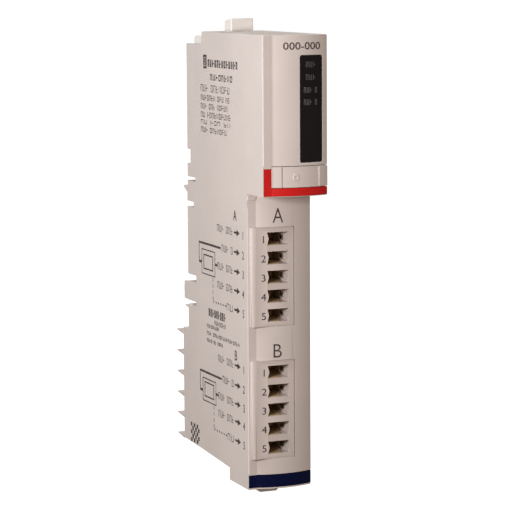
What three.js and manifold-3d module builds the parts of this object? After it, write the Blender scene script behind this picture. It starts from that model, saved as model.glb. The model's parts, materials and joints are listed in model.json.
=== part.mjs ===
// Plug-on output module of a modular control island: a slim two-shell housing with a bowed front,
// two blocks of wiring sockets, a display window, and a latch at the top and at the bottom.
// Millimetres, +Z up. X runs across the module (left is negative), Y from front to back.
// The pieces are drawn from datums at mid-width, at the plane of the lower front edge and at the
// bottom of the base stripe; the last lines move the origin to the rear seating face.
import * as THREE from 'three';
import { mergeVertices } from 'three/addons/utils/BufferGeometryUtils.js';
import Module from 'manifold-3d';

// ---- driving dimensions ----
const WIDTH = 18.0;
const HALF = WIDTH / 2;
const WALL = 1.2;                 // wall of the two shells
const GAP = 0.1;                  // between pieces that touch
const INNER = HALF - WALL;        // inner faces of the side walls
const COVER_SEAM = INNER - GAP;   // where the walls of the body meet the side cover
const FOOT_Z = -0.45;             // underside of the foot
const TOP_Z = 119.8;
const HEAD_Z = 78.45;             // underside of the head
const HEAD_Y = -10.9;             // front corner of the head
const STEP_Y = 31.5;              // rear end of the high part of the top
const LOW_TOP_Z = 116.3;          // top behind that step
const REAR_Y = 43.3;              // rear edge of the side walls
const SEAT_Y = 47.8;              // seating face of the rear contact carrier
const FOOT_REAR_Y = 13.4;         // the foot is lower than the rest of the underside

// Bowed front: a flat strip along the left edge, then an arc to the right edge.
const STRIP_RIGHT = -6.6;
const ARC_HALF = (HALF - STRIP_RIGHT) / 2;
const ARC_MID = HALF - ARC_HALF;
const ARC_RISE = 1.47;
const ARC_R = (ARC_HALF ** 2 + ARC_RISE ** 2) / (2 * ARC_RISE);
const SKIN = 1.3;                 // thickness of the front covers
const INLAY = 0.75;               // thickness of the coloured stripes

const SOCKET_PITCH = 5.08;
const SOCKET_COUNT = 5;
const SOCKET = { left: -3.86, right: 2.3, half: 1.7, ridge: 0.45, floorY: 9.6 };
// Openings in a socket's right wall, measured back from the block's face and up from mid-socket.
const POCKET = { front: 3.7, back: 9.5, deep: 1.1, low: -1.0, high: 0.35 };
const RELIEF = { front: 1.4, back: 2.3, deep: 0.5, bands: [[0.55, 1.1], [-1.6, -1.15]] };
const GROOVE = { front: 2.1, back: 4.0, deep: 0.2, low: -1.12, high: -0.95 };
const BLOCKS = { a: { low: 43.3, mid: 56.3 }, b: { low: 7.9, mid: 20.88 } };
const BLOCK_TALL = 26.1;
const BLOCK_FACE_Y = -1.2;
const BLOCK_LEFT = { x: -8.6, round: 1.6 };   // outer edge, width of its rounded corner
const BLOCK_RIGHT = 3.7;
const BLOCK_SLOT = 0.22;           // open joint down the block's right side
const BLOCK_BODY = { left: -6.1, right: 3.9, front: 1.3, rear: 14, inset: 0.4 };  // behind the face
const STEM = { left: -1.25, right: -0.25, halfTall: 0.4, rear: 18, room: 0.1 };   // of a contact

const WINDOW = { left: 0.8, right: 7.35, low: 87.2, high: 114.5, corner: 0.45 };
const BEZEL_LOW = 86.3;
const CLIP = { low: 80.8, high: 86.18, seam: -3.95, padLeft: 6.28 };
const RING = { x: -0.35, z: 83.4, outer: 0.85, inner: 0.55 };
const RED = { low: 78.62, high: 80.65, legTop: 85.62, legRight: -6.7 };
const BLUE = { low: 0, high: 3.35 };
const LED_ROWS = [112.2, 108.95, 105.7, 102.6];
const LED_X = 1.35;

const FIN_COUNT = 6;
const CARRIER = { halfWide: 7.5, front: 44.4, low: 4.5 };
const POWER = { halfWide: 2, front: 40.2, halfTall: 0.4, room: 0.1 };   // contacts in the carrier
const FIN = { first: 35.15, pitch: 5.99, tipY: 52.9, tip: 0.3, root: 0.9 };

const TOP_PIVOT = { y: 14, z: 116.3, r: 1.2, boss: 1.9 };
const BOTTOM_PIVOT = { y: 4.2, z: 2.1, r: 0.9, boss: 1.6 };
const BOARD = { left: 5.4, right: 7.0, low: 8, high: 110 };
const BUS = { low: 91.2, high: 102.8, halfWide: 5.1, front: 36.5, rear: 42.9, count: 6, pitch: 1.8 };
const BUS_CONTACT = { halfWide: 3, front: 34.5, rear: 42.4, halfTall: 0.25, room: 0.15 };
const CHANNELS = { a: { z: 54 }, b: { z: 18.5 } };

// ---- solids ----
const wasm = await Module();
wasm.setup();

function solid(geometry) {
  geometry.deleteAttribute('normal');
  geometry.deleteAttribute('uv');
  const merged = mergeVertices(geometry, 1e-5);
  const mesh = new wasm.Mesh({
    numProp: 3,
    vertProperties: Float32Array.from(merged.attributes.position.array),
    triVerts: Uint32Array.from(merged.index.array),
  });
  return new wasm.Manifold(mesh);
}

function box(x0, x1, y0, y1, z0, z1) {
  const g = new THREE.BoxGeometry(x1 - x0, y1 - y0, z1 - z0);
  return solid(g.translate((x0 + x1) / 2, (y0 + y1) / 2, (z0 + z1) / 2));
}

function extrude(points, depth) {
  const shape = new THREE.Shape(points.map(([a, b]) => new THREE.Vector2(a, b)));
  return new THREE.ExtrudeGeometry(shape, { depth, bevelEnabled: false });
}

// Outline of [y, z] points, extruded across the module.
function acrossX(points, x0, x1) {
  const turn = new THREE.Matrix4().set(0, 0, 1, x0, 1, 0, 0, 0, 0, 1, 0, 0, 0, 0, 0, 1);
  return solid(extrude(points, x1 - x0).applyMatrix4(turn));
}

// Outline of [x, z] points, extruded from front to back.
function alongY(points, y0, y1) {
  const turn = new THREE.Matrix4().set(1, 0, 0, 0, 0, 0, -1, y1, 0, 1, 0, 0, 0, 0, 0, 1);
  return solid(extrude(points, y1 - y0).applyMatrix4(turn));
}

// Outline of [x, y] points, extruded upwards.
function upZ(points, z0, z1) {
  return solid(extrude(points, z1 - z0).translate(0, 0, z0));
}

// Round bar between two values of one axis, centred on c in the other two (in x, y, z order).
function bar(axis, c, from, to, r, sides = 24) {
  const g = new THREE.CylinderGeometry(r, r, to - from, sides);
  const mid = (from + to) / 2;
  if (axis === 'x') return solid(g.rotateZ(-Math.PI / 2).translate(mid, c[0], c[1]));
  if (axis === 'z') return solid(g.rotateX(Math.PI / 2).translate(c[0], c[1], mid));
  return solid(g.translate(c[0], mid, c[1]));
}

// Rectangle with round corners, as [a, b] points.
function roundedRectangle(a0, a1, b0, b1, r) {
  const steps = 4;
  const corners = [[a1 - r, b1 - r, 0], [a0 + r, b1 - r, 1], [a0 + r, b0 + r, 2], [a1 - r, b0 + r, 3]];
  return corners.flatMap(([a, b, quarter]) => Array.from({ length: steps + 1 }, (_, i) => {
    const turn = (Math.PI / 2) * (quarter + i / steps);
    return [a + r * Math.cos(turn), b + r * Math.sin(turn)];
  }));
}

const join = (first, ...others) => others.reduce((sum, s) => sum.add(s), first);
const cut = (first, ...others) => others.reduce((rest, s) => rest.subtract(s), first);

// ---- front surface ----
function bow(x) {
  if (x <= STRIP_RIGHT) return 0;
  const flat = Math.sqrt(ARC_R ** 2 - ARC_HALF ** 2);
  return flat - Math.sqrt(ARC_R ** 2 - (x - ARC_MID) ** 2);
}

// Points of the front line between x0 and x1, `inset` behind the surface whose strip is at plane y.
function frontLine(y, x0, x1, inset) {
  const steps = 24;
  const xs = [x0];
  if (x0 < STRIP_RIGHT && x1 > STRIP_RIGHT) xs.push(STRIP_RIGHT);
  const start = xs[xs.length - 1];
  for (let i = 1; i <= steps; i += 1) xs.push(start + ((x1 - start) * i) / steps);
  return xs.map((x) => [x, y + bow(x) + inset]);
}

// Skin of even thickness that follows the front.
function frontSlice(y, x0, x1, inset, thick) {
  return [...frontLine(y, x0, x1, inset), ...frontLine(y, x0, x1, inset + thick).reverse()];
}

// Floor or roof with a bowed front edge and a straight rear edge.
function frontDeck(y, x0, x1, inset, rear) {
  return [...frontLine(y, x0, x1, inset), [x1, rear], [x0, rear]];
}

// ---- side walls ----
// Side outline as [y, z] points, from the foot's front corner round over the head to the back.
// The rear edge carries the guide notch, two slots, a catch nose, a stop block and a thin lip.
function sideOutline(lowerFront, headFront) {
  return [
    [lowerFront, FOOT_Z], [lowerFront, HEAD_Z], [headFront, HEAD_Z], [headFront, TOP_Z],
    [STEP_Y, TOP_Z], [STEP_Y + 0.9, LOW_TOP_Z], [REAR_Y, LOW_TOP_Z],
    [REAR_Y, 87.15], [40.9, 87.15], [40.9, 83.1], [REAR_Y, 83.1],
    [42.9, 79.5], [37.3, 79.5], [37.3, 78.4], [REAR_Y, 78.4],
    [REAR_Y, 77.0], [46.0, 76.8], [46.4, 76.3], [44.0, 75.1], [43.65, 75.1],
    [43.65, 72.65], [38.9, 72.65], [38.9, 71.1], [43.65, 71.1],
    [43.65, 52.1], [38.9, 51.5], [37.4, 50.75], [46.7, 49.7],
    [46.8, 44.8], [41.0, 44.6], [37.6, 43.7], [46.9, 42.9], [43.65, 42.3],
    [43.65, 35.7], [SEAT_Y, 35.3], [SEAT_Y, 4.6], [33.9, 4.0], [FOOT_REAR_Y, 2.9],
    [FOOT_REAR_Y, FOOT_Z],
  ];
}

const SLOT_CUTS = [[40.9, 83.1, 87.15], [37.3, 78.4, 79.5], [38.9, 71.1, 72.65], [37.4, 50.2, 52.1],
  [37.6, 43.7, 44.7]];

function pivotBoss(pivot, x0, x1) {
  return bar('x', [pivot.y, pivot.z], x0, x1, pivot.boss);
}

function pivotHoles() {
  const deep = HALF - 0.5;
  return [TOP_PIVOT, BOTTOM_PIVOT].map((p) => bar('x', [p.y, p.z], -deep, deep, p.r + GAP));
}

function housingBody() {
  const x0 = -HALF;
  const x1 = COVER_SEAM;
  const shell = join(
    acrossX(sideOutline(0, HEAD_Y), x0, -INNER),
    upZ(frontDeck(HEAD_Y, x0, x1, SKIN + GAP, STEP_Y), 118.3, TOP_Z),          // top wall
    box(x0, x1, 9.2, REAR_Y - GAP, 112, 113),                                  // latch channel floor
    box(x0, x1, 8.2, 9.2, 112, 118.4),                                         // latch channel front
    box(x0, x1, 41.9, REAR_Y - GAP, 36, 112.5),                                // rear wall
    box(x0, x1, 41.9, SEAT_Y - GAP, 35.5, 36.4),                               // shelf over the carrier
    acrossX([[12.2, 2.9], [FOOT_REAR_Y, 2.9], [33.9, 4.0], [44.2, 4.44], [44.2, 5.64],
      [33.9, 5.2], [12.2, 4.1]], x0, x1),                                      // underside
    box(x0, x1, 12.2, FOOT_REAR_Y, FOOT_Z, 4),                                 // rear of the foot
    upZ(frontDeck(0, x0, x1, 1.0, FOOT_REAR_Y), FOOT_Z, 0.35),                 // floor of the foot
    upZ(frontSlice(0, x0, x1, 0.9, 1.2), FOOT_Z, BLUE.high + 0.05),            // behind the stripe
    upZ(frontSlice(0, x0, HALF, 0, SKIN), FOOT_Z, BLUE.low - 0.08),            // lip under it
    upZ(frontSlice(0, x0, x1, 1.0, 1.1), FOOT_Z, BLUE.low - 0.08),
    box(x0, STRIP_RIGHT, 0, WALL, BLUE.high + 0.08, HEAD_Z + 0.5),             // lower front strip
    box(x0 + 0.1, STRIP_RIGHT, -0.3, 0.5, 76.6, 77.9),                         // ledge on top of it
    upZ(frontDeck(HEAD_Y, x0, x1, 1.0, WALL), HEAD_Z, 79.8),                   // underside of the head
    upZ(frontSlice(HEAD_Y, x0, x1, 0.9, 1.2), HEAD_Z, RED.high),               // behind the stripe
    upZ(frontSlice(HEAD_Y, x0, HALF, 0, SKIN), HEAD_Z, RED.low - 0.06),        // lip under it
    box(x0, RED.legRight, HEAD_Y, HEAD_Y + WALL, RED.legTop + 0.06, TOP_Z),    // head front strip
    box(x0, RED.legRight, HEAD_Y + 0.9, HEAD_Y + 2.1, HEAD_Z, RED.legTop + 1),
    box(x0, 2, 7.2, 11.6, 5.3, 6.3),                                           // lower spring seat
    pivotBoss(TOP_PIVOT, x0 + 0.5, -6.0),
    pivotBoss(BOTTOM_PIVOT, x0 + 0.5, -5.4),
  );
  const slots = SLOT_CUTS.flatMap(([y, low, high]) => [
    box(-HALF - 1, -5.5, y, 50, low, high), box(5.5, HALF + 1, y, 50, low, high)]);
  return cut(
    shell,
    ...slots,
    box(-3.6, 3.6, 23.8, 30.6, 117, 121),                                      // top tab window
    box(-3.4, 3.4, 7.5, 12.5, -2, 1),                                          // bottom tab window
    box(-3.2, 3.2, 11, 14, 0.35, 2.75),                                        // latch arm window
    box(-BUS.halfWide - GAP, BUS.halfWide + GAP, 41, 44, BUS.low - GAP, BUS.high + GAP),
    box(-HALF + 0.15, -6, HEAD_Y - 1, HEAD_Y + INLAY + GAP, RED.low - 0.06, RED.legTop + 0.06),
    box(-HALF + 0.05, -6, -1, INLAY + GAP, BLUE.low - 0.08, BLUE.high + 0.08),
    ...pivotHoles(),
  );
}

function sideCover() {
  const shell = join(
    acrossX(sideOutline(SKIN + GAP, HEAD_Y + SKIN + GAP), INNER, HALF),
    pivotBoss(TOP_PIVOT, 6.0, HALF - 0.5),
    pivotBoss(BOTTOM_PIVOT, 5.4, HALF - 0.5),
    ...[14, 60, 106].map((z) => box(BOARD.right + GAP, HALF - 0.5, 12, 15, z - 1.5, z + 1.5)),
  );
  return cut(shell, ...pivotHoles());
}

// ---- front pieces ----
function headBezel() {
  const skin = upZ(frontSlice(HEAD_Y, RED.legRight + GAP, HALF, 0, SKIN), BEZEL_LOW, TOP_Z);
  return cut(skin, windowOutline(GAP));
}

function windowOutline(margin) {
  const { left, right, low, high, corner } = WINDOW;
  return alongY(roundedRectangle(left - margin, right + margin, low - margin, high + margin,
    corner + margin), -20, 0);
}

function ledWindow() {
  const { left, right, low, high } = WINDOW;
  const slab = upZ(frontSlice(HEAD_Y, left - 1, right + 1, 0.15, 1.0), low - 1, high + 1);
  return slab.intersect(windowOutline(0));
}

function labelClip() {
  const left = RED.legRight + GAP;
  const right = HALF - 0.05;
  const ringY = HEAD_Y + bow(RING.x);
  const pad = upZ(frontSlice(HEAD_Y, CLIP.padLeft, right, -0.25, 1.0), CLIP.low + 0.1, CLIP.high - 0.2);
  const ring = cut(bar('y', [RING.x, RING.z], ringY - 0.15, ringY + 0.6, RING.outer, 16),
    bar('y', [RING.x, RING.z], ringY - 1, ringY - 0.02, RING.inner, 16));
  const body = upZ(frontSlice(HEAD_Y, left, right, 0.05, 1.2), CLIP.low, CLIP.high);
  const seam = box(CLIP.seam - 0.12, CLIP.seam + 0.12, -13, HEAD_Y + bow(CLIP.seam) + 0.45,
    CLIP.low - 1, CLIP.high + 1);
  return join(cut(body, seam), pad, ring);
}

function idStripe() {
  const leg = box(-HALF + 0.2, RED.legRight, HEAD_Y, HEAD_Y + INLAY, RED.low, RED.legTop);
  return join(leg, upZ(frontSlice(HEAD_Y, -HALF + 0.2, HALF, 0, INLAY), RED.low, RED.high));
}

function lowerFrontPanel() {
  const left = STRIP_RIGHT + GAP;
  const skin = upZ(frontSlice(0, left, HALF, 0, SKIN), BLUE.high + GAP, HEAD_Z - GAP);
  const openings = Object.values(BLOCKS).map(({ low }) => (
    box(-HALF, BLOCK_RIGHT + BLOCK_SLOT, -3, 3, low - GAP, low + BLOCK_TALL + GAP)));
  return cut(skin, ...openings);
}

function baseStripe() {
  return upZ(frontSlice(0, -HALF + 0.1, HALF, 0, INLAY), BLUE.low, BLUE.high);
}

// ---- wiring sockets ----
const socketHeights = (mid) => Array.from({ length: SOCKET_COUNT }, (_, i) => (
  mid + SOCKET_PITCH * ((SOCKET_COUNT - 1) / 2 - i)));

function terminalBlock({ low, mid }) {
  const { left, right, front, rear, inset } = BLOCK_BODY;
  const high = low + BLOCK_TALL;
  const corner = Array.from({ length: 7 }, (_, i) => {
    const turn = Math.PI * i / 12;
    return [BLOCK_LEFT.x + BLOCK_LEFT.round * (1 - Math.cos(turn)),
      -GAP + (BLOCK_FACE_Y + GAP) * Math.sin(turn)];
  });
  const face = [...corner, [BLOCK_RIGHT, BLOCK_FACE_Y], [BLOCK_RIGHT, front + GAP],
    [left, front + GAP], [left, -GAP]];
  const block = join(upZ(face, low, high), box(left, right, front, rear, low + inset, high - inset));
  return cut(block, ...socketHeights(mid).flatMap(socketVoids));
}

// One socket: the cavity with its key ridge, a side pocket for the plug's latch with two small
// relief holes in front of it, and the hole for the contact's stem.
function socketVoids(z) {
  const { left, right, half, ridge, floorY } = SOCKET;
  const inWall = (opening, low, high) => box(right - 1, right + opening.deep,
    BLOCK_FACE_Y + opening.front, BLOCK_FACE_Y + opening.back, z + low, z + high);
  return [
    alongY([[left, z - half], [right, z - half], [right, z + half], [left, z + half],
      [left + ridge, z]], -5, floorY),
    inWall(POCKET, POCKET.low, POCKET.high),
    inWall(GROOVE, GROOVE.low, GROOVE.high),
    ...RELIEF.bands.map(([low, high]) => inWall(RELIEF, low, high)),
    box(STEM.left - STEM.room, STEM.right + STEM.room, floorY - 1, BLOCK_BODY.rear + 1,
      z - STEM.halfTall - STEM.room, z + STEM.halfTall + STEM.room),
  ];
}

// Spring contact at the bottom of a socket: a plate with a pin slot, and a stem that turns
// towards the board.
function terminalContact(z) {
  const { floorY } = SOCKET;
  const { left, right, halfTall, rear } = STEM;
  const plate = cut(box(-3.1, 2.0, floorY - 0.9, floorY - 0.4, z - 1.45, z + 1.45),
    box(-2.4, 1.3, floorY - 1, floorY - 0.6, z - 0.35, z + 0.35));
  return join(plate, box(left, right, floorY - 0.5, rear, z - halfTall, z + halfTall),
    box(left, BOARD.left - GAP, rear - 1, rear, z - halfTall, z + halfTall));
}

// ---- rear contact carrier ----
const finTop = (i) => FIN.first - FIN.pitch * i;

// Block between the side walls, with wedge-shaped fins that run the full width behind them.
function rearContactCarrier() {
  const { halfWide, front, low } = CARRIER;
  const root = SEAT_Y + GAP;
  const fins = Array.from({ length: FIN_COUNT }, (_, i) => {
    const z = finTop(i);
    const wedge = [[root, z], [root, z - FIN.root], [FIN.tipY, z - FIN.tip], [FIN.tipY, z]];
    const foot = box(-halfWide, halfWide, SEAT_Y - 1, root + GAP, z - FIN.root, z);
    return join(acrossX(wedge, -HALF, HALF), foot);
  });
  const block = box(-halfWide, halfWide, front, SEAT_Y, low, FIN.first);
  const slotX = POWER.halfWide + POWER.room;
  const slotZ = POWER.halfTall + POWER.room;
  const slots = powerHeights().map((z) => box(-slotX, slotX, front - 1, SEAT_Y + 1, z - slotZ, z + slotZ));
  return cut(join(block, ...fins), ...slots);
}

function powerHeights() {
  return Array.from({ length: FIN_COUNT - 1 }, (_, i) => (
    (finTop(i) - FIN.root + finTop(i + 1)) / 2));
}

function powerContact(z) {
  const { halfWide, front, halfTall } = POWER;
  return join(box(-halfWide, halfWide, front, SEAT_Y + 0.4, z - halfTall, z + halfTall),
    box(halfWide - GAP, BOARD.left - GAP, front, front + 1, z - halfTall, z + halfTall));
}

// ---- island bus connector ----
const busHeights = () => Array.from({ length: BUS.count }, (_, i) => (
  (BUS.low + BUS.high) / 2 + BUS.pitch * ((BUS.count - 1) / 2 - i)));

function busConnector() {
  const slotX = BUS_CONTACT.halfWide + GAP;
  const slotZ = BUS_CONTACT.halfTall + BUS_CONTACT.room;
  const slots = busHeights().map((z) => box(-slotX, slotX, BUS.front - 1, BUS.rear + 1,
    z - slotZ, z + slotZ));
  return cut(box(-BUS.halfWide, BUS.halfWide, BUS.front, BUS.rear, BUS.low, BUS.high), ...slots);
}

function busContact(z) {
  const { halfWide, front, rear, halfTall } = BUS_CONTACT;
  return join(box(-halfWide, halfWide, front, rear, z - halfTall, z + halfTall),
    box(halfWide - GAP, BOARD.left - GAP, front, front + 1, z - halfTall, z + halfTall));
}

// ---- latches ----
function topLatch() {
  const { y, z, r } = TOP_PIVOT;
  const beamZ = 115.9;
  return join(
    bar('x', [y, z], -HALF + 0.8, HALF - 0.8, r),
    bar('x', [y, z], -5.6, 5.6, 1.5),
    box(-5.6, 5.6, y, 34, beamZ, 117.7),
    box(-5.6, 5.6, 32.3, 34, beamZ, 118.4),
    acrossX([[32.3, 116.0], [42.0, 116.0], [42.0, 117.6], [41.4, 118.4], [32.3, 118.4]], -7.2, 7.2),
    acrossX([[24.3, 117], [29.4, 117], [29.1, 122.6], [24.4, 123.4]], -3.25, 3.25),
  );
}

function bottomLatch() {
  const { y, z, r } = BOTTOM_PIVOT;
  const tab = alongY([[-3, 1], [-3, -2.8], [-2.4, -3.4], [2.4, -3.4], [3, -2.8], [3, 1]], 7.9, 11.9);
  return join(
    bar('x', [y, z], -HALF + 0.8, HALF - 0.8, r),
    bar('x', [y, z], -3, 3, 1.25),
    box(-3, 3, y, 15.4, 0.65, 1.75),
    acrossX([[14.3, 1.2], [14.3, 0.1], [15.0, 0.1], [15.4, 0.6], [15.4, 1.2]], -3, 3),
    tab,
  );
}

// Small compression spring standing on z0 and reaching z1.
function coilSpring(y, z0, z1, r, turns) {
  const wire = 0.22;
  class Helix extends THREE.Curve {
    getPoint(t, target = new THREE.Vector3()) {
      const a = 2 * Math.PI * turns * t;
      return target.set(r * Math.cos(a), y + r * Math.sin(a), z0 + wire + (z1 - z0 - 2 * wire) * t);
    }
  }
  const section = new THREE.Shape(Array.from({ length: 6 }, (_, i) => new THREE.Vector2(
    wire * Math.cos((i * Math.PI) / 3), wire * Math.sin((i * Math.PI) / 3))));
  return solid(new THREE.ExtrudeGeometry(section, {
    extrudePath: new Helix(), steps: Math.round(turns * 14), bevelEnabled: false }));
}

// ---- electronics ----
function mainBoard() {
  return acrossX([[3, BOARD.low], [41.5, BOARD.low], [41.5, BOARD.high], [-4.2, BOARD.high],
    [-4.2, 82], [3, 82]], BOARD.left, BOARD.right);
}

function lightGuide() {
  const fingers = LED_ROWS.map((z) => box(LED_X - 0.5, LED_X + 0.5, -11.0, -8.5, z - 0.5, z + 0.5));
  return join(box(-0.5, 3.2, -8.6, -7.6, 100.8, 114), ...fingers);
}

// Square lead that leaves a body at x and ends at the board.
const lead = (x, y, z) => box(x, BOARD.left - GAP, y - 0.4, y + 0.4, z - 0.4, z + 0.4);

// Power switch with its legs bent over to the board and its tab up against the heat spreader.
function outputTriac(z) {
  const legs = [-2.54, 0, 2.54].flatMap((dy) => [
    box(-2.8, -2.0, 25.1 + dy, 25.9 + dy, z - 5, z + 0.5), lead(-2.8, 25.5 + dy, z - 4.6)]);
  return join(box(-5.2, -0.9, 20.5, 30.5, z, z + 9.2), box(-5.2, -3.9, 20.5, 30.5, z + 9.1, z + 15),
    ...legs);
}

function fuse(z) {
  return join(bar('x', [35.2, z], -2.8, 4.0, 4.1), lead(3.8, 32.7, z), lead(3.8, 37.7, z));
}

function varistor(z) {
  return join(bar('z', [-0.6, 35], z - 2, z + 2, 4.5), lead(2.5, 32.5, z), lead(2.5, 37.5, z));
}

function optocoupler(z) {
  const legs = [-2.54, 0, 2.54].flatMap((dz) => [21.7, 29.3].map((y) => lead(2.6, y, z + dz)));
  return join(box(1.6, 4.6, 21.8, 29.2, z - 4, z + 4), ...legs);
}

function transformer() {
  const pins = [101, 104, 107].flatMap((z) => [lead(3, 23, z), lead(3, 33, z)]);
  return join(box(-4.2, 4.2, 24, 32, 99.2, 109), box(2, 4.6, 22, 34, 99.6, 108.6), ...pins);
}

function capacitor() {
  return join(bar('x', [8, 97], -6.5, 4.6, 4), lead(4.4, 6, 97), lead(4.4, 10, 97));
}

// ---- assembly ----
const module = new THREE.Group();

function material(color, roughness, metalness = 0) {
  return { color, roughness, metalness };
}

const SHELL_GREY = material(0xd6c9c1, 0.55);
const BLOCK_GREY = material(0xcdc0b6, 0.5);
const SMOKED = material(0x1c1819, 0.12);
const CLEAR = material(0xe8eef0, 0.1);
const RED_PLASTIC = material(0xc11f1b, 0.45);
const BLUE_PLASTIC = material(0x0a1238, 0.45);
const TAB_GREY = material(0xd3cbc1, 0.5);
const BOARD_GREEN = material(0x1f5b3a, 0.5);
const TINNED = material(0xb8b4a8, 0.3, 1);
const BRASS = material(0xb5934f, 0.35, 1);
const ALUMINIUM = material(0xb9bcc0, 0.4, 1);
const BLACK_PLASTIC = material(0x1b1b1d, 0.5);
const SPRING_STEEL = material(0x9a9da1, 0.35, 1);
const VARISTOR_BLUE = material(0x1d4f9a, 0.45);
const FERRITE = material(0x3a3a3c, 0.6);

function add(name, body, look) {
  const { vertProperties, triVerts } = body.getMesh();
  const geometry = new THREE.BufferGeometry();
  geometry.setAttribute('position', new THREE.BufferAttribute(vertProperties, 3));
  geometry.setIndex(new THREE.BufferAttribute(triVerts, 1));
  geometry.computeVertexNormals();
  const mesh = new THREE.Mesh(geometry, new THREE.MeshStandardMaterial(look));
  mesh.name = name;
  module.add(mesh);
}

add('housing_body', housingBody(), SHELL_GREY);
add('side_cover', sideCover(), SHELL_GREY);
add('head_bezel', headBezel(), SHELL_GREY);
add('led_window', ledWindow(), SMOKED);
add('label_clip', labelClip(), SHELL_GREY);
add('id_stripe', idStripe(), RED_PLASTIC);
add('lower_front_panel', lowerFrontPanel(), SHELL_GREY);
add('base_stripe', baseStripe(), BLUE_PLASTIC);
add('top_latch', topLatch(), TAB_GREY);
add('top_latch_spring', coilSpring(27, 113.05, 115.85, 1.6, 3), SPRING_STEEL);
add('bottom_latch', bottomLatch(), TAB_GREY);
add('bottom_latch_spring', coilSpring(9.4, 1.8, 5.25, 1.6, 3), SPRING_STEEL);

for (const [letter, block] of Object.entries(BLOCKS)) {
  add(`terminal_block_${letter}`, terminalBlock(block), BLOCK_GREY);
  socketHeights(block.mid).forEach((z, i) => (
    add(`terminal_contact_${letter}${i + 1}`, terminalContact(z), BRASS)));
}

add('rear_contact_carrier', rearContactCarrier(), BLOCK_GREY);
powerHeights().forEach((z, i) => add(`power_contact_${i + 1}`, powerContact(z), BRASS));
add('bus_connector', busConnector(), BLACK_PLASTIC);
busHeights().forEach((z, i) => add(`bus_contact_${i + 1}`, busContact(z), TINNED));

add('main_board', mainBoard(), BOARD_GREEN);
add('led_board', box(-6, BOARD.right, -6, -4.8, 88, 114), BOARD_GREEN);
LED_ROWS.forEach((z, i) => (
  add(`led_${i + 1}`, box(LED_X - 0.8, LED_X + 0.8, -7, -6.1, z - 0.45, z + 0.45), CLEAR)));
add('light_guide', lightGuide(), CLEAR);

for (const [letter, { z }] of Object.entries(CHANNELS)) {
  add(`output_triac_${letter}`, outputTriac(z + 5), BLACK_PLASTIC);
  add(`fuse_${letter}`, fuse(z + 12), BLACK_PLASTIC);
  add(`varistor_${letter}`, varistor(z), VARISTOR_BLUE);
  add(`optocoupler_${letter}`, optocoupler(z - 6), BLACK_PLASTIC);
}
add('heat_spreader', box(-6.7, -5.4, 19, 38, 14, 76), ALUMINIUM);
add('bus_asic', box(3.9, BOARD.left - GAP, 20, 32, 84, 96), BLACK_PLASTIC);
add('isolation_transformer', transformer(), FERRITE);
add('electrolytic_capacitor', capacitor(), BLACK_PLASTIC);

// The origin is at mid-width on the rear seating face, just above the middle power contact.
const seatZ = powerHeights()[2] + 1.5;
module.position.set(0, -SEAT_Y, -seatZ);

export default module;
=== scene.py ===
"""Looks of the plug-on output module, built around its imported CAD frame. Metres, in the CAD frame."""
import json
import math

import bmesh
import bpy
from mathutils import Matrix, Vector
from mathutils.bvhtree import BVHTree


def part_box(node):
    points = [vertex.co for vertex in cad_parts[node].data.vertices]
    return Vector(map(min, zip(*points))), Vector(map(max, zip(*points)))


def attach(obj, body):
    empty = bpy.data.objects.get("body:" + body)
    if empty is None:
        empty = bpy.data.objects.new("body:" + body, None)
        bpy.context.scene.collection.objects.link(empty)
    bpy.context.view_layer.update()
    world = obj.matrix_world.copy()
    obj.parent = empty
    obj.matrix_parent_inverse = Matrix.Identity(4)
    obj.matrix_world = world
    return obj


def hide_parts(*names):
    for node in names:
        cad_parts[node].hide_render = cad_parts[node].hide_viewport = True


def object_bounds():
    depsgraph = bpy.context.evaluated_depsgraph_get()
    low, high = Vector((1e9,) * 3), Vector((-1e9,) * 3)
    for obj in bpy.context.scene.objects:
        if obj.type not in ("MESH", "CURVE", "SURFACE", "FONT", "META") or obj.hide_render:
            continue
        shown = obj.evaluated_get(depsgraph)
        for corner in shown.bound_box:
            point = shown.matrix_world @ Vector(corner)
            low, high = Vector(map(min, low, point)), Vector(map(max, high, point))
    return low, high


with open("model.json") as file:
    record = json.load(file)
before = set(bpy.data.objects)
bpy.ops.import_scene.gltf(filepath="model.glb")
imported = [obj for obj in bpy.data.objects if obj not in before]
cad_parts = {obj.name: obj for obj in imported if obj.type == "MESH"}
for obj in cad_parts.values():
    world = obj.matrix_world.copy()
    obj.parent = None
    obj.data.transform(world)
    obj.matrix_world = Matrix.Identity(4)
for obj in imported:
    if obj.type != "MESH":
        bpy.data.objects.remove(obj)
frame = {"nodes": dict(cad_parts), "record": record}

CAD_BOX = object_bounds()
MM = 0.001

# Drawing datum: mid-width, the plane of the lower front strip, the bottom of the base stripe.
BLOCK_PROUD = 1.2        # how far the wiring blocks stand in front of the strip
DATUM = Vector((0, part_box("terminal_block_a")[0].y + BLOCK_PROUD * MM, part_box("base_stripe")[0].z))
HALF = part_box("housing_body")[0].x / -MM
HEAD_Y = -10.9           # plane of the head's flat strip
STRIP_RIGHT = -6.6       # the flat strip ends here and the bowed front begins
ARC_RISE = 1.47          # how far the bow stands out in its middle
ARC_HALF = (HALF - STRIP_RIGHT) / 2
ARC_MID = HALF - ARC_HALF
ARC_R = (ARC_HALF ** 2 + ARC_RISE ** 2) / (2 * ARC_RISE)


def at(x, y, z):
    """A point given in millimetres from the drawing datum, in the frame's metres."""
    return DATUM + Vector((x, y, z)) * MM


def to_datum(point):
    """A point of the frame in millimetres from the drawing datum."""
    return (point - DATUM) / MM


def middle_height(node):
    """Height of the middle of a node, in millimetres from the drawing datum."""
    low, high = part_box(node)
    return to_datum((low + high) / 2).z


def bow(x):
    """How far the bowed front stands behind its edges at x; negative is forward."""
    if x <= STRIP_RIGHT:
        return 0.0
    return math.sqrt(ARC_R ** 2 - ARC_HALF ** 2) - math.sqrt(ARC_R ** 2 - (x - ARC_MID) ** 2)


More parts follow.
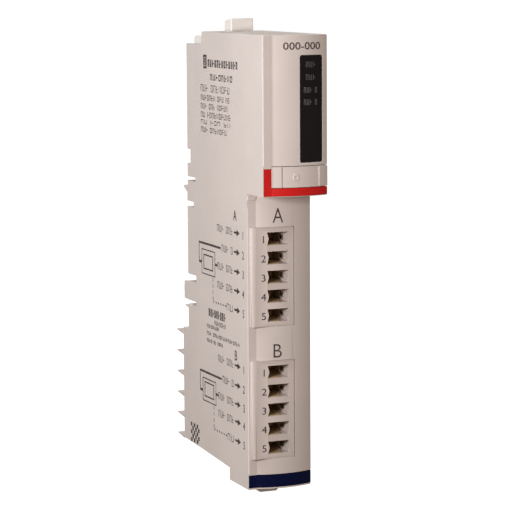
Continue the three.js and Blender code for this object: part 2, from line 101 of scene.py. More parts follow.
# ---- materials ----
class Nodes:
    """Short calls for building one material's node tree."""

    def __init__(self, name):
        self.material = bpy.data.materials.new(name)
        self.material.use_nodes = True
        self.tree = self.material.node_tree
        self.shader = self.tree.nodes["Principled BSDF"]
        self.place = self.add("ShaderNodeTexCoord").outputs["Object"]

    def add(self, kind, **values):
        node = self.tree.nodes.new(kind)
        for key, value in values.items():
            setattr(node, key, value)
        return node

    def link(self, output, socket):
        self.tree.links.new(output, socket)

    def noise(self, scale, detail=3.0, rough=0.55, stretch=None):
        """Noise through the piece, finer along the axes that stretch makes larger."""
        node = self.add("ShaderNodeTexNoise")
        node.inputs["Scale"].default_value = scale
        node.inputs["Detail"].default_value = detail
        node.inputs["Roughness"].default_value = rough
        place = self.place
        if stretch:
            mapping = self.add("ShaderNodeMapping")
            mapping.inputs["Scale"].default_value = stretch
            self.link(place, mapping.inputs["Vector"])
            place = mapping.outputs["Vector"]
        self.link(place, node.inputs["Vector"])
        return node.outputs["Fac"]

    def ramp(self, source, low, high, out_low, out_high):
        """What runs from low to high in source, run from out_low to out_high."""
        node = self.add("ShaderNodeMapRange")
        values = {"From Min": low, "From Max": high, "To Min": out_low, "To Max": out_high}
        for key, value in values.items():
            node.inputs[key].default_value = value
        self.link(source, node.inputs["Value"])
        return node.outputs["Result"]

    def mix(self, factor, first, second):
        """A colour between two others, which are values or outputs of nodes."""
        node = self.add("ShaderNodeMix", data_type="RGBA")
        self.link(factor, node.inputs["Factor"])
        for socket, value in ((node.inputs["A"], first), (node.inputs["B"], second)):
            if isinstance(value, bpy.types.NodeSocket):
                self.link(value, socket)
            else:
                socket.default_value = (*value, 1)
        return node.outputs["Result"]

    def bump(self, source, strength, distance, normal=None):
        """A surface roughened by source, on top of another bump if that is given."""
        node = self.add("ShaderNodeBump")
        node.inputs["Strength"].default_value = strength
        node.inputs["Distance"].default_value = distance
        self.link(source, node.inputs["Height"])
        if normal:
            self.link(normal, node.inputs["Normal"])
        return node.outputs["Normal"]


def scaled(color, factor):
    """A colour made lighter or darker."""
    return tuple(min(1.0, c * factor) for c in color)


def plastic(name, color, rough=0.5, grain=0.35, mottle=0.03, specular=0.4):
    """Moulded plastic: fine spark-eroded grain, faint flow marks and uneven handling gloss."""
    m = Nodes(name)
    cloud = m.noise(70, 4)
    flow = m.noise(35, 2, stretch=(4, 4, 0.7))
    grainy = m.noise(9000, 2, 0.6)
    base = m.mix(m.ramp(cloud, 0.3, 0.7, 0, 1), scaled(color, 1 - mottle), scaled(color, 1 + mottle))
    streaked = m.mix(m.ramp(flow, 0.35, 0.75, 0, 0.35), base, scaled(color, 0.96))
    m.link(streaked, m.shader.inputs["Base Color"])
    m.link(m.ramp(cloud, 0.25, 0.75, rough - 0.06, rough + 0.07), m.shader.inputs["Roughness"])
    fine = m.bump(grainy, grain, 0.00003)
    m.link(m.bump(flow, 0.05, 0.0002, fine), m.shader.inputs["Normal"])
    m.shader.inputs["Specular IOR Level"].default_value = specular
    return m.material


def worn_and_highlit(name, color):
    """The rounded edges of a moulding: rubbed a little paler and smoother, with small nicks; the paler
    patches also paint a highlight along the edges.
    """
    m = Nodes(name)
    nicks = m.noise(1400, 3, 0.7)
    # Paler patches: partly rubbed wear, partly a painted highlight on the edges.
    pale = m.mix(m.ramp(nicks, 0.45, 0.6, 0, 1), scaled(color, 1.07), color)
    m.link(pale, m.shader.inputs["Base Color"])
    m.link(m.ramp(nicks, 0.3, 0.7, 0.33, 0.48), m.shader.inputs["Roughness"])
    m.link(m.bump(nicks, 0.08, 0.00004), m.shader.inputs["Normal"])
    return m.material


def metal(name, color, rough=0.3, brushed=(1, 1, 1)):
    """Stamped or plated metal with fine drawing lines and dull patches."""
    m = Nodes(name)
    lines = m.noise(2500, 2, 0.5, stretch=brushed)
    tarnish = m.noise(500, 4)
    dulled = m.mix(m.ramp(tarnish, 0.4, 0.7, 0, 1), color, scaled(color, 0.75))
    m.link(dulled, m.shader.inputs["Base Color"])
    m.link(m.ramp(tarnish, 0.3, 0.7, rough - 0.08, rough + 0.15), m.shader.inputs["Roughness"])
    m.link(m.bump(lines, 0.12, 0.00002), m.shader.inputs["Normal"])
    m.shader.inputs["Metallic"].default_value = 1.0
    return m.material


def smoked():
    """Glossy smoked window: near black, with faint ripples and handling marks in the gloss."""
    m = Nodes("smoked_window")
    smear = m.noise(160, 4, 0.6)
    ripple = m.noise(60, 1)
    tint = m.mix(smear, (0.007, 0.0056, 0.0066), (0.0095, 0.0078, 0.0088))
    m.link(tint, m.shader.inputs["Base Color"])
    m.link(m.ramp(smear, 0.35, 0.7, 0.2, 0.34), m.shader.inputs["Roughness"])
    m.link(m.bump(ripple, 0.05, 0.0002), m.shader.inputs["Normal"])
    m.shader.inputs["Specular IOR Level"].default_value = 0.28
    return m.material


def clear():
    """Clear moulded plastic with a faintly frosted surface."""
    m = Nodes("clear_plastic")
    frost = m.noise(3000, 2)
    m.link(m.ramp(frost, 0.3, 0.7, 0.08, 0.22), m.shader.inputs["Roughness"])
    m.link(m.mix(frost, (0.82, 0.86, 0.86), (0.9, 0.93, 0.93)), m.shader.inputs["Base Color"])
    m.shader.inputs["Transmission Weight"].default_value = 0.7
    return m.material


def ink(name, color):
    """Pad-printed ink, a little uneven in cover."""
    m = Nodes(name)
    cover = m.noise(4000, 3, 0.7)
    thinned = m.mix(m.ramp(cover, 0.4, 0.75, 0, 0.5), color, scaled(color, 2.0))
    m.link(thinned, m.shader.inputs["Base Color"])
    m.link(m.ramp(cover, 0.3, 0.7, 0.45, 0.65), m.shader.inputs["Roughness"])
    return m.material


SHELL = (0.66, 0.575, 0.525)
BLOCK = (0.62, 0.535, 0.485)
TAB = (0.8, 0.745, 0.69)
RED = (0.6, 0.012, 0.011)
BLUE = (0.002, 0.0045, 0.034)
# For each material slot: the finish of plain faces, and that of rounded edges where it differs.
LOOKS = {
    "shell_plastic": (plastic("shell_plastic", SHELL, 0.52), worn_and_highlit("shell_edge", SHELL)),
    "socket_plastic": (plastic("socket_plastic", BLOCK, 0.48), worn_and_highlit("socket_edge", BLOCK)),
    "latch_plastic": (plastic("latch_plastic", TAB, 0.45), worn_and_highlit("latch_edge", TAB)),
    "red_plastic": (plastic("red_plastic", RED, 0.42, 0.2, specular=0.25), worn_and_highlit("red_edge", RED)),
    "blue_plastic": (plastic("blue_plastic", BLUE, 0.42, 0.2, specular=0.12), worn_and_highlit("blue_edge", BLUE)),
    "smoked_window": (smoked(), None),
    "black_plastic": (plastic("black_plastic", (0.016, 0.016, 0.017), 0.5), None),
    "clear_plastic": (clear(), None),
    "circuit_board": (plastic("circuit_board", (0.02, 0.12, 0.05), 0.4, 0.6, 0.12), None),
    "varistor_coating": (plastic("varistor_coating", (0.02, 0.08, 0.35), 0.35, 0.2), None),
    "contact_brass": (metal("contact_brass", (0.58, 0.42, 0.18), 0.32), None),
    "tinned_contact": (metal("tinned_contact", (0.62, 0.6, 0.56), 0.3), None),
    "spring_steel": (metal("spring_steel", (0.5, 0.5, 0.51), 0.3), None),
    "aluminium": (metal("aluminium", (0.62, 0.63, 0.65), 0.38, (1, 1, 30)), None),
}
# Dark brown lining for the socket cavities: painted shade where the cavities lie in shadow.
SHADE_SLEEVE = plastic("painted_shade_brown", (0.55, 0.41, 0.25), 0.5, 0.3, 0.12)
INK = ink("print_ink", (0.055, 0.04, 0.037))
WINDOW_INK = ink("window_ink", (0.1, 0.094, 0.094))

SLOT_OF = {s["node"]: s["material_slot"] for s in frame["record"]["subparts"]}
BODY_OF = {n: body for body, nodes in frame["record"]["behaviour"]["bodies"].items() for n in nodes}


# ---- pieces ----
def make_piece(name, mesh, body, materials):
    """A visual piece that rides on a body."""
    piece = bpy.data.objects.new(name, mesh)
    bpy.context.scene.collection.objects.link(piece)
    for m in materials:
        mesh.materials.append(m)
    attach(piece, body)
    return piece


def gap(point, edge):
    """Distance from a point to a straight edge."""
    start = edge.verts[0].co
    along = edge.verts[1].co - start
    share = (point - start).dot(along) / max(along.length_squared, 1e-18)
    return (start + along * max(0.0, min(1.0, share)) - point).length


def crossings(mesh):
    """Places where a mesh runs through itself."""
    bm = bmesh.new()
    bm.from_mesh(mesh)
    bmesh.ops.triangulate(bm, faces=bm.faces[:])
    bm.faces.ensure_lookup_table()
    tree = BVHTree.FromBMesh(bm)
    places = []
    for i, j in tree.overlap(tree):
        pair = (bm.faces[i], bm.faces[j])
        if i < j and not set(pair[0].verts) & set(pair[1].verts):
            places.append(min(pair, key=lambda face: face.calc_area()).calc_center_median())
    bm.free()
    return places


def front_normal(x):
    """Normal of the bowed front at x."""
    if x <= STRIP_RIGHT:
        return Vector((0, -1, 0))
    slope = (x - ARC_MID) / math.sqrt(ARC_R ** 2 - (x - ARC_MID) ** 2)
    return Vector((slope, -1, 0)).normalized()


def is_bent(face):
    """Whether a face is one facet of a curved surface: it turns smoothly into a face that isn't
    a mere sliver beside it."""
    sliver = 0.05 * face.calc_area()
    for edge in face.edges:
        if edge.smooth and len(edge.link_faces) == 2 and edge.calc_face_angle(0) > math.radians(1):
            if min(f.calc_area() for f in edge.link_faces) > sliver:
                return True
    return False


def on_bow(face):
    """Whether a plain face lies on the bowed front of the head or of the lower half."""
    x, y, _ = to_datum(face.center)
    off = min(abs(y - bow(x)), abs(y - HEAD_Y - bow(x)))
    return face.material_index == 0 and face.normal.y < -0.85 and x > STRIP_RIGHT and off < 0.2


def part_shading(mesh):
    """Shades plain faces flat up to their rounded edges, and gives the bowed front its true normals."""
    bm = bmesh.new()
    bm.from_mesh(mesh)
    for face in bm.faces:
        face.smooth = True
    for edge in bm.edges:
        if len({face.material_index for face in edge.link_faces}) > 1:
            edge.smooth = False
    bent = [is_bent(face) for face in bm.faces]
    bm.to_mesh(mesh)
    bm.free()
    normals = [corner.vector.copy() for corner in mesh.corner_normals]
    for face in mesh.polygons:
        if on_bow(face):
            for i in face.loop_indices:
                corner = mesh.vertices[mesh.loops[i].vertex_index].co
                normals[i] = front_normal(to_datum(corner).x)
        elif not bent[face.index]:
            for i in face.loop_indices:
                normals[i] = face.normal.copy()
    mesh.normals_split_custom_set(normals)


def rounded(bm, width, name):
    """The mesh with its weighted edges rounded; the new faces take the second material."""
    mesh = bpy.data.meshes.new(name)
    bm.to_mesh(mesh)
    mesh.materials.append(None)
    mesh.materials.append(None)
    holder = bpy.data.objects.new(name, mesh)
    bpy.context.scene.collection.objects.link(holder)
    bevel = holder.modifiers.new("edges", "BEVEL")
    bevel.width = width * MM
    bevel.segments = 3
    bevel.limit_method = "WEIGHT"
    bevel.use_clamp_overlap = False
    bevel.material = 1
    shaped = holder.evaluated_get(bpy.context.evaluated_depsgraph_get())
    made = bpy.data.meshes.new_from_object(shaped)
    bpy.data.objects.remove(holder)
    made.materials.clear()
    part_shading(made)
    return made


SHARP_ANGLE = 28         # edges sharper than this are rounded, degrees
ROOM_SHARE = 0.42        # rounding takes at most this share of the way to the next sharp edge
MAX_TRIES = 8
FIRST_REACH = 0.5        # how near a crossing an edge must be to be left sharp, at the first try
MORE_REACH = 0.25        # and how much that grows at each further try
# Heights at which the housing's long edges are divided, just past the coloured stripes, so that
# the small lips there don't hold back the rounding of the whole edge.
SPLITS = {"housing_body": (4.0, 74.5, 86.6)}


def cleaned(node, stretch):
    """A copy of a CAD node's mesh with each flat face in one piece, and its points shifted by
    stretch where that is given."""
    bm = bmesh.new()
    bm.from_mesh(frame["nodes"][node].data)
    bmesh.ops.remove_doubles(bm, verts=bm.verts, dist=2e-6)
    bmesh.ops.dissolve_limit(bm, angle_limit=math.radians(0.5), verts=bm.verts, edges=bm.edges)
    for face in bm.faces:
        face.material_index = 0
        face.smooth = True
    if stretch:
        for v in bm.verts:
            v.co += stretch(to_datum(v.co)) * MM
    for height in SPLITS.get(node, ()):
        bmesh.ops.bisect_plane(bm, geom=bm.verts[:] + bm.edges[:] + bm.faces[:],
                               plane_co=at(0, 0, height), plane_no=(0, 0, 1))
    return bm


def weigh_edges(bm, weight, width, wanted):
    """Gives each sharp edge its share of the full rounding, as far as there's room beside it."""
    limit = math.radians(SHARP_ANGLE)
    sharp = [e for e in bm.edges if len(e.link_faces) == 2 and e.calc_face_angle(0) > limit]
    chosen = set(sharp)
    for edge in sharp:
        edge.smooth = False
        first, second = (v.co for v in edge.verts)
        share = wanted(to_datum(first), to_datum(second))
        if not share:
            continue
        ends = set(edge.verts)
        near = {o for f in edge.link_faces for o in f.edges if o in chosen and not ends & set(o.verts)}
        spots = [first.lerp(second, t) for t in (0.02, 0.25, 0.5, 0.75, 0.98)]
        room = min([ROOM_SHARE * gap(spot, other) for other in near for spot in spots], default=1.0)
        edge[weight] = min(share, room / (width * MM))
    return sharp


def refine(node, width, wanted, stretch=None):
    """Replaces a CAD node by a finished copy: clean flat faces, and rounded edges up to width.
    wanted gives the share of that width for an edge between two points. Where the rounding makes
    the mesh run through itself, the edges nearby are left sharp."""
    bm = cleaned(node, stretch)
    weight = bm.edges.layers.float.new("bevel_weight_edge")
    sharp = weigh_edges(bm, weight, width, wanted)
    for attempt in range(MAX_TRIES):
        finished = rounded(bm, width, node + "_finished")
        places = crossings(finished)
        if not places:
            break
        reach = (FIRST_REACH + MORE_REACH * attempt) * MM
        for edge in sharp:
            if any(gap(place, edge) < reach for place in places):
                edge[weight] = 0.0
    bm.free()
    slot = SLOT_OF[node]
    plain, edges = LOOKS[slot]
    piece = make_piece(node + "_finished", finished, BODY_OF[node], [plain, edges or plain])
    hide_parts(node)


# Where a joint shows as a hairline in the photo, the copies are widened into it by these amounts.
JOINT = {"block_ends": 0.09, "block_side": 0.05, "seam": 0.08}
BLOCK_MID = {letter: middle_height(f"terminal_block_{letter}") for letter in "ab"}
BLOCK_JOIN = 40.0        # height between the two wiring blocks
BLOCK_ENDS = 12          # a block's top and bottom rims are farther than this from its middle
BLOCK_RIGHT = 3.6        # and its right rim lies beyond this
SOCKETS = (-4.2, 3.4)    # all edges of the sockets lie between these
PANEL_BACK = 1.3         # the panel around the blocks reaches back to here
SEAM = (-7.0, -6.2)      # the joint beside the flat strip lies between these
NEAR = 0.1               # a point this near a plane is on it


def every_edge(first, second):
    """All edges alike."""
    return 1.0


def block_rim(first, second):
    """The outer edges of a wiring block, without those of its sockets."""
    return float(all(p.x < SOCKETS[0] or p.x > SOCKETS[1] for p in (first, second)))


def away_from_seam(first, second):
    """All but the edges in the joint beside the flat strip, which stay sharp."""
    return float(not all(SEAM[0] < p.x < SEAM[1] and p.y < 2 for p in (first, second)))


def housing_edge(first, second):
    """The left front corner is rounded most."""
    if all(p.x < NEAR - HALF and min(abs(p.y), abs(p.y - HEAD_Y)) < NEAR for p in (first, second)):
        return 1.0
    return 0.5 * away_from_seam(first, second)


def block_closed_up(point):
    """Widens a wiring block's rim into its joint with the panel."""
    if point.y > PANEL_BACK:
        return Vector()
    off = point.z - (BLOCK_MID["a"] if point.z > BLOCK_JOIN else BLOCK_MID["b"])
    up = math.copysign(JOINT["block_ends"], off) if abs(off) > BLOCK_ENDS else 0
    return Vector((JOINT["block_side"] if point.x > BLOCK_RIGHT else 0, 0, up))


def seam_closed_up(point):
    """Widens a front cover's left edge into the joint beside the flat strip."""
    return Vector((-JOINT["seam"] if point.x < STRIP_RIGHT + 0.2 else 0, 0, 0))


# For each refined node: the full rounding in millimetres, where it applies, and any widening.
REFINED = {
    "housing_body": (0.32, housing_edge), "side_cover": (0.18, every_edge),
    "head_bezel": (0.2, away_from_seam, seam_closed_up), "led_window": (0.12, every_edge),
    "label_clip": (0.06, away_from_seam, seam_closed_up), "id_stripe": (0.06, away_from_seam),
    "lower_front_panel": (0.1, away_from_seam, seam_closed_up), "base_stripe": (0.08, every_edge),
    "top_latch": (0.3, every_edge), "bottom_latch": (0.2, every_edge),
    "terminal_block_a": (0.25, block_rim, block_closed_up),
    "terminal_block_b": (0.25, block_rim, block_closed_up),
    "rear_contact_carrier": (0.08, every_edge), "bus_connector": (0.1, every_edge),
}
for node, how in REFINED.items():
    refine(node, *how)
# The other nodes keep their CAD shape and only get a finish.
for node, obj in frame["nodes"].items():
    if node not in REFINED:
        obj.data.materials.clear()
        obj.data.materials.append(LOOKS[SLOT_OF[node]][0])


# ---- socket sleeves: painted shade in the cavities ----
SOCKET_COUNT = 5
# The middle contact marks the middle socket. It isn't quite the middle of the block.
SOCKET_MID = {letter: middle_height(f"terminal_contact_{letter}3") for letter in "ab"}
SOCKET_PITCH = (middle_height("terminal_contact_a1") - SOCKET_MID["a"]) / 2
CAVITY = {"left": -3.86, "right": 2.3, "half": 1.7, "ridge": 0.45}
# Depths of the dark sleeves, which paint the shade deep in each cavity. They begin at the front, but
# farther back on the right, where the lit wall stays bare, and end short of the contacts.
SHADE_SLEEVE_DEPTH = {"left": -0.9, "right": 5.0, "rear": 8.6}
SHADE_SLEEVE_BEND = -0.3       # the front edge starts to run back from here to the right
SLEEVE_GAP = 0.03
SLEEVE_WALL = 0.12


def socket_height(letter, index):
    """Height of a socket's middle; socket 0 is the top one."""
    return SOCKET_MID[letter] + SOCKET_PITCH * ((SOCKET_COUNT - 1) / 2 - index)


def shade_sleeve_outline(z, inside):
    """Corners (x, height, front depth) of a painted-shade sleeve around height z, inside the cavity's
    walls.
    """
    left, right = CAVITY["left"] + inside, CAVITY["right"] - inside
    low, high = z - CAVITY["half"] + inside, z + CAVITY["half"] - inside
    mouth, deep = SHADE_SLEEVE_DEPTH["left"], SHADE_SLEEVE_DEPTH["right"]
    return [(left, low, mouth), (SHADE_SLEEVE_BEND, low, mouth), (right, low, deep),
            (right, high, deep), (left, high, mouth), (left + CAVITY["ridge"], z, mouth)]


def socket_shade_sleeves(letter):
    """Dark brown sleeves lining each cavity down to its contact: painted shade where the cavity lies in
    shadow.
    """
    rear = SHADE_SLEEVE_DEPTH["rear"]
    bm = bmesh.new()
    for i in range(SOCKET_COUNT):
        z = socket_height(letter, i)
        outer, inner = shade_sleeve_outline(z, SLEEVE_GAP), shade_sleeve_outline(z, SLEEVE_GAP + SLEEVE_WALL)
        rings = [[bm.verts.new(at(a, y, b)) for a, b, y in outer],
                 [bm.verts.new(at(a, rear, b)) for a, b, _ in outer],
                 [bm.verts.new(at(a, rear, b)) for a, b, _ in inner],
                 [bm.verts.new(at(a, y, b)) for a, b, y in inner]]
        for k, ring in enumerate(rings):
            following = rings[(k + 1) % len(rings)]
            for n in range(len(ring)):
                m = (n + 1) % len(ring)
                bm.faces.new((ring[n], ring[m], following[m], following[n]))
    bmesh.ops.recalc_face_normals(bm, faces=bm.faces)
    name = f"socket_shade_sleeves_{letter}"
    mesh = bpy.data.meshes.new(name)
    bm.to_mesh(mesh)
    bm.free()
    make_piece(name, mesh, "module", [SHADE_SLEEVE])


socket_shade_sleeves("a")
socket_shade_sleeves("b")


# ---- printing ----
LIFT = 0.02              # height of the ink over the surface
INK_THICK = 0.012
WINDOW_BACK = 0.15       # the window lies this far behind the head's bow


# Printing surfaces: a runs across the print, b is the height, and up leads out of the surface from
# the back of the ink. On the left side a is the depth Y, elsewhere it is X.
def on_left(a, b, up):
    return at(-HALF - LIFT - up, a, b)


def on_lower_front(a, b, up):
    return at(a, bow(a) - LIFT - up, b)


def on_head(a, b, up):
    return at(a, HEAD_Y + bow(a) - LIFT - up, b)


def on_window(a, b, up):
    return at(a, HEAD_Y + bow(a) + WINDOW_BACK - LIFT - up, b)


def on_block(a, b, up):
    return at(a, -BLOCK_PROUD - LIFT - up, b)


class Print:
    """Collects flat printed shapes on one surface. flip is for a surface where a runs leftwards."""

    CAP_SHARE = 0.7      # a capital's height as a share of the font size
    BEND_STEP = 1.5      # a bar's straight stretches are at least this long

    def __init__(self, surface, flip=False):
        self.surface = surface
        self.flip = flip
        self.bm = bmesh.new()

    def shape(self, points):
        """A closed outline of (a, b) points as a thin plate of ink."""
        low = [self.bm.verts.new(self.surface(a, b, 0)) for a, b in points]
        top = [self.bm.verts.new(self.surface(a, b, INK_THICK)) for a, b in points]
        self.bm.faces.new(low)
        self.bm.faces.new(top[::-1])
        for i in range(len(points)):
            j = (i + 1) % len(points)
            self.bm.faces.new((low[j], low[i], top[i], top[j]))

    def bar(self, a0, a1, b0, b1):
        """A rectangle, in short stretches so that it follows the bow."""
        steps = max(1, int(abs(a1 - a0) / self.BEND_STEP))
        xs = [a0 + (a1 - a0) * i / steps for i in range(steps + 1)]
        self.shape([(x, b0) for x in xs] + [(x, b1) for x in reversed(xs)])

    def border(self, a0, a1, b0, b1, line):
        """The outline of a rectangle."""
        a0, a1 = sorted((a0, a1))
        self.bar(a0, a1, b0, b0 + line)
        self.bar(a0, a1, b1 - line, b1)
        self.bar(a0, a0 + line, b0 + line, b1 - line)
        self.bar(a1 - line, a1, b0 + line, b1 - line)

    def text(self, words, centre, height, wide, weight=0.0):
        """Numerals or single letters, centred on (a, b). weight makes the strokes bolder."""
        curve = bpy.data.curves.new("glyphs", "FONT")
        curve.body = words
        curve.align_x = "CENTER"
        curve.size = height / self.CAP_SHARE
        curve.offset = weight
        curve.resolution_u = 4
        holder = bpy.data.objects.new("glyphs", curve)
        bpy.context.scene.collection.objects.link(holder)
        flat = bpy.data.meshes.new_from_object(holder)
        bpy.data.objects.remove(holder)
        glyph = bmesh.new()
        glyph.from_mesh(flat)
        bmesh.ops.remove_doubles(glyph, verts=glyph.verts, dist=1e-4)
        added = bmesh.ops.extrude_face_region(glyph, geom=glyph.faces[:])
        raised = {v for v in added["geom"] if isinstance(v, bmesh.types.BMVert)}
        mirror = -1 if self.flip else 1
        made = {}
        for v in glyph.verts:
            a = centre[0] + mirror * v.co.x * wide
            b = centre[1] - height / 2 + v.co.y
            made[v] = self.bm.verts.new(self.surface(a, b, INK_THICK if v in raised else 0))
        for f in glyph.faces:
            self.bm.faces.new([made[v] for v in f.verts])
        glyph.free()

    def done(self, name, material):
        """Turns the collected shapes into a piece."""
        bmesh.ops.recalc_face_normals(self.bm, faces=self.bm.faces)
        mesh = bpy.data.meshes.new(name)
        self.bm.to_mesh(mesh)
        self.bm.free()
        make_piece(name, mesh, "module", [material])


WORD_GAP = 0.8           # space between words, in cells
MARK_WIDTH = 0.68        # width of a mark, in cells


def marks(sheet, a0, a1, b, tall, words, line=0.2):
    """A line of meaningless stroke marks from a0 to a1; words holds the number of marks in each word.
    The strokes of a mark depend on its place in the line: a left stroke, mostly a right one, and
    a bar at the top, at the bottom or across the middle."""
    cell = (a1 - a0) / (sum(words) + WORD_GAP * (len(words) - 1))
    wide = cell * MARK_WIDTH
    thick = math.copysign(line, cell)
    low, high, middle = b - tall / 2, b + tall / 2, b - line / 2
    a = a0
    kind = 0
    for word in words:
        for _ in range(word):
            sheet.bar(a, a + thick, low, high)
            if kind % 3 != 2:
                sheet.bar(a + wide - thick, a + wide, low, high)
            if kind % 4 in (0, 3):
                sheet.bar(a + thick, a + wide - thick, high - line, high)
            if kind % 4 in (1, 3):
                sheet.bar(a + thick, a + wide - thick, low, low + line)
            if kind % 3 == 2:
                sheet.bar(a + thick, a + wide, middle, middle + line)
            a += cell
            kind += 1
        a += WORD_GAP * cell


# Depths Y across a wiring diagram, from the arrows at the front to the load and its bus.
NUMERAL, LETTER = 2.9, 8.4
ARROW = {"tip": 5.2, "barb": 7.3, "shaft": 7.0, "tail": 9.2}
NAME_FRONT, NAME_BACK = 9.7, 21.2
LOAD = {"front": 22.9, "back": 32.9, "in_front": 24.5, "in_back": 31.5}
BUS_BACK, BUS_FRONT = 34.9, 18.8
EARTH = 24.7
# The marks in a signal's name, and where it begins if it is shorter than the others.
NAME_MARKS = [3, 3]
SHORT_NAMES = {1: (18.0, [3, 1]), 4: (14.6, [2])}
# Thicknesses and heights.
LINE, INNER_LINE, LINK_LINE = 0.3, 0.38, 0.7
SHAFT_LINE, BARB_HALF = 0.56, 0.9
BUS_LINE, BUS_DROP = 0.6, 3.4
DASHES, DASH_GAP = 4, 0.7
DOTS, DOT_PITCH, DOT = 6, 1.7, 0.6


def signal_row(sheet, index, z):
    """A numbered arrow, with marks in place of the signal's name."""
    sheet.text(str(index + 1), (NUMERAL, z - 0.3), 2.1, 0.8, 0.03)
    sheet.bar(ARROW["tail"], ARROW["shaft"], z - SHAFT_LINE / 2, z + SHAFT_LINE / 2)
    sheet.shape([(ARROW["barb"], z - BARB_HALF), (ARROW["barb"], z + BARB_HALF), (ARROW["tip"], z)])
    back, words = SHORT_NAMES.get(index, (NAME_BACK, NAME_MARKS))
    marks(sheet, back, NAME_FRONT, z, 1.9, words)


def wiring_diagram(sheet, letter, letter_z, rows, load):
    """One channel's diagram: five numbered arrows, a load drawn as a double box, and an earth line.
    rows holds the arrows' heights, load the heights of the outer and inner boxes' edges."""
    for i, z in enumerate(rows):
        signal_row(sheet, i, z)
    sheet.text(letter, (LETTER, letter_z), 2.7, 0.85, 0.03)
    low, low_in, high_in, high = load
    bus_low = rows[1] - 0.15 - BUS_LINE / 2
    drop = high - BUS_DROP
    sheet.bar(BUS_BACK, BUS_FRONT, bus_low, bus_low + BUS_LINE)
    sheet.bar(BUS_BACK, BUS_BACK - LINE, drop, bus_low)
    sheet.border(LOAD["back"], LOAD["front"], low, high, LINE)
    sheet.border(LOAD["in_back"], LOAD["in_front"], low_in, high_in, INNER_LINE)
    sheet.bar(BUS_BACK, LOAD["back"], drop - LINK_LINE, drop)
    sheet.bar(LOAD["front"], NAME_BACK, rows[2] - LINK_LINE / 2, rows[2] + LINK_LINE / 2)
    pitch = (low - rows[4]) / DASHES
    for i in range(DASHES):
        top = low - LINE - pitch * i
        sheet.bar(EARTH, EARTH - LINE, top, top - pitch + DASH_GAP)
    for i in range(DOTS):
        back = EARTH - 0.4 - DOT_PITCH * i
        sheet.bar(back, back - DOT, rows[4] - 0.2, rows[4] + 0.3)


def type_plate(sheet):
    """The block of printed lines near the top of the side."""
    sheet.border(30.4, 28.0, 109.9, 113.6, 0.6)
    sheet.bar(29.5, 28.8, 110.8, 112.8)
    marks(sheet, 27.2, 5.5, 111.4, 2.0, [13], 0.45)
    marks(sheet, 25.5, 9.0, 107.7, 1.7, [8], 0.35)
    lines = ((104.6, 1.9, 11.2, [3, 7]), (102.0, 1.5, 11.2, [7, 3, 2]), (99.7, 1.5, 12.7, [3, 3, 5]),
             (97.4, 1.5, 10.6, [2, 10]), (95.4, 1.2, 10.6, [2, 3, 2]), (93.3, 1.4, 13.5, [3, 7]))
    for b, tall, front, words in lines:
        marks(sheet, 32.5, front, b, tall, words, 0.22)


def address_lines(sheet):
    """The lines of small print between the two diagrams."""
    marks(sheet, 28.0, 15.2, 43.4, 2.2, [9], 0.42)
    marks(sheet, 23.6, 15.2, 41.0, 1.2, [7])
    for b, front, words in ((39.5, 20.0, [9]), (37.5, 5.4, [3, 16]), (35.5, 17.5, [4, 2, 4])):
        marks(sheet, 29.3, front, b, 1.0, words)


def check_pattern(sheet, back, low, cell, rows, columns):
    """A plain check pattern in place of a printed code."""
    for row in range(rows):
        for col in range(columns):
            if (row + col) % 2 == 0:
                a, b = back - cell * col, low + cell * row
                sheet.bar(a, a - cell, b, b + cell)


def side_print():
    """Everything printed on the left side."""
    sheet = Print(on_left, flip=True)
    wiring_diagram(sheet, "A", 71.95, (67.4, 62.2, 57.05, 51.9, 46.7), (53.5, 54.9, 59.1, 60.5))
    wiring_diagram(sheet, "B", 34.4, (31.7, 26.4, 21.3, 16.5, 11.3), (18.0, 19.3, 23.6, 24.6))
    type_plate(sheet)
    address_lines(sheet)
    check_pattern(sheet, 42.4, 4.6, 1.1, 5, 6)
    sheet.done("side_print", INK)


NUMBER_X = -4.9          # middle of the socket numbers
NUMBER_DROP = 0.09


def front_print():
    """Block letters, type field, status marks and socket numbers."""
    lower = Print(on_lower_front)
    lower.text("A", (-0.83, 72.6), 3.95, 0.78, -0.02)
    lower.text("B", (-1.2, 36.7), 3.75, 0.92, -0.03)
    lower.done("block_letters", INK)
    head = Print(on_head)
    head.text("000-000", (1.5, 117.0), 1.85, 1.2, 0.02)
    head.done("type_field", INK)
    window = Print(on_window)
    for z, left, right, words in ((112.2, 2.5, 5.6, [3]), (108.95, 2.5, 5.6, [3]),
                                  (105.7, 1.9, 6.0, [3, 1]), (102.6, 1.9, 6.0, [3, 1])):
        marks(window, left, right, z, 1.4, words, 0.17)
    window.done("window_print", WINDOW_INK)
    for letter in SOCKET_MID:
        block = Print(on_block)
        for i in range(SOCKET_COUNT):
            block.text(str(i + 1), (NUMBER_X, socket_height(letter, i) - NUMBER_DROP), 1.9, 1.15)
        block.done(f"socket_numbers_{letter}", INK)


side_print()
front_print()


# ---- camera, light and stage ----
# The photograph's view: the camera's place from the datum, its angles, and its lens.
CAMERA_AT = (-225.33, -525.1, 135.87)
CAMERA_YAW = math.radians(22.66)
CAMERA_PITCH = math.radians(7.44)
CAMERA_ROLL = -0.0056
CAMERA_LENS = 153.2


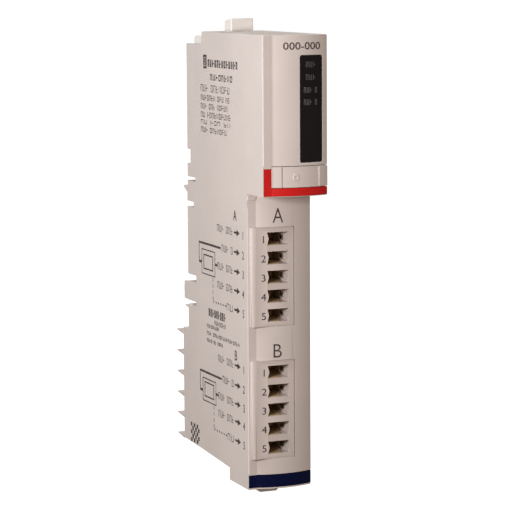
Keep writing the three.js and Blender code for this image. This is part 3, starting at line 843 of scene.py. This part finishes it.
def camera():
    """Long lens to the left of the front and a little above the middle."""
    yaw, pitch, roll = CAMERA_YAW, CAMERA_PITCH, CAMERA_ROLL
    level = Vector((math.sin(yaw), math.cos(yaw), 0))
    forward = level * math.cos(pitch) - Vector((0, 0, math.sin(pitch)))
    right = Vector((math.cos(yaw), -math.sin(yaw), 0))
    up = right.cross(forward)
    across = right * math.cos(roll) + up * math.sin(roll)
    upward = up * math.cos(roll) - right * math.sin(roll)
    data = bpy.data.cameras.new("camera")
    data.sensor_width = 36.0
    data.lens = CAMERA_LENS
    data.clip_start = 0.05
    data.clip_end = 20.0
    cam = bpy.data.objects.new("camera", data)
    turn = Matrix((across, upward, -forward)).transposed()
    cam.matrix_world = Matrix.Translation(at(*CAMERA_AT)) @ turn.to_4x4()
    bpy.context.scene.collection.objects.link(cam)
    bpy.context.scene.camera = cam


# Softboxes: angle to the left of straight ahead, height angle, distance from the aim, size, power,
# colour, and how far the aim is above the middle of the module.
LIGHTS = {
    "key_light": (85, 45, 0.5, 0.3, 1.256, (0.725, 0.879, 1.0), 0.03),
    "front_light": (46, 0, 0.28, 0.05, 0.62, (0.955, 0.93, 0.955), 0.055),
    "rear_light": (-130, 25, 0.6, 0.3, 1.8, (1.0, 0.97, 0.94), 0.0),
    "top_light": (0, 80, 0.5, 0.3, 0.35, (1.0, 0.98, 0.96), 0.0),
}
ROOM_LIGHT = (1.0, 0.865, 0.716, 1)
ROOM_STRENGTH = 0.24


def area_light(name, turn, height, distance, size, power, color, lift):
    """A square softbox aimed at the module."""
    data = bpy.data.lights.new(name, "AREA")
    data.size = size
    data.energy = power
    data.color = color
    light = bpy.data.objects.new(name, data)
    turn, height = math.radians(turn), math.radians(height)
    level = Vector((-math.sin(turn), -math.cos(turn), 0))
    toward = level * math.cos(height) + Vector((0, 0, math.sin(height)))
    aim = (CAD_BOX[0] + CAD_BOX[1]) / 2 + Vector((0, 0, lift))
    light.location = aim + toward * distance
    light.rotation_euler = toward.to_track_quat("Z", "Y").to_euler()
    light.visible_camera = False
    bpy.context.scene.collection.objects.link(light)


def studio():
    """Softboxes and a warm room light. The camera sees plain white behind the module."""
    scene = bpy.context.scene
    scene.view_settings.view_transform = "Standard"
    for name, setting in LIGHTS.items():
        area_light(name, *setting)
    world = bpy.data.worlds.new("studio")
    world.use_nodes = True
    scene.world = world
    nodes, links = world.node_tree.nodes, world.node_tree.links
    soft = nodes["Background"]
    soft.inputs["Color"].default_value = ROOM_LIGHT
    soft.inputs["Strength"].default_value = ROOM_STRENGTH
    seen = nodes.new("ShaderNodeBackground")
    seen.inputs["Color"].default_value = (1, 1, 1, 1)
    path = nodes.new("ShaderNodeLightPath")
    mix = nodes.new("ShaderNodeMixShader")
    links.new(path.outputs["Is Camera Ray"], mix.inputs["Fac"])
    links.new(soft.outputs["Background"], mix.inputs[1])
    links.new(seen.outputs["Background"], mix.inputs[2])
    links.new(mix.outputs["Shader"], nodes["World Output"].inputs["Surface"])


def floor():
    """Plain pale floor just under the lowest point. It glows a little, so it looks as pale as the
    backdrop, and it throws no light back on the module."""
    size = 4.0
    low = CAD_BOX[0].z - 0.0002
    corners = [(-size, -size, low), (size, -size, low), (size, size, low), (-size, size, low)]
    mesh = bpy.data.meshes.new("floor")
    mesh.from_pydata(corners, [], [(0, 1, 2, 3)])
    ground = bpy.data.objects.new("floor", mesh)
    bpy.context.scene.collection.objects.link(ground)
    m = Nodes("pale_floor")
    tone = m.noise(3, 2)
    m.link(m.mix(tone, (0.34, 0.34, 0.34), (0.36, 0.36, 0.36)), m.shader.inputs["Base Color"])
    m.link(m.ramp(tone, 0.3, 0.7, 0.85, 0.95), m.shader.inputs["Roughness"])
    m.shader.inputs["Emission Color"].default_value = (1, 1, 1, 1)
    m.shader.inputs["Emission Strength"].default_value = 0.96
    mesh.materials.append(m.material)
    ground.visible_diffuse = False
    ground.visible_glossy = False


camera()
studio()
floor()
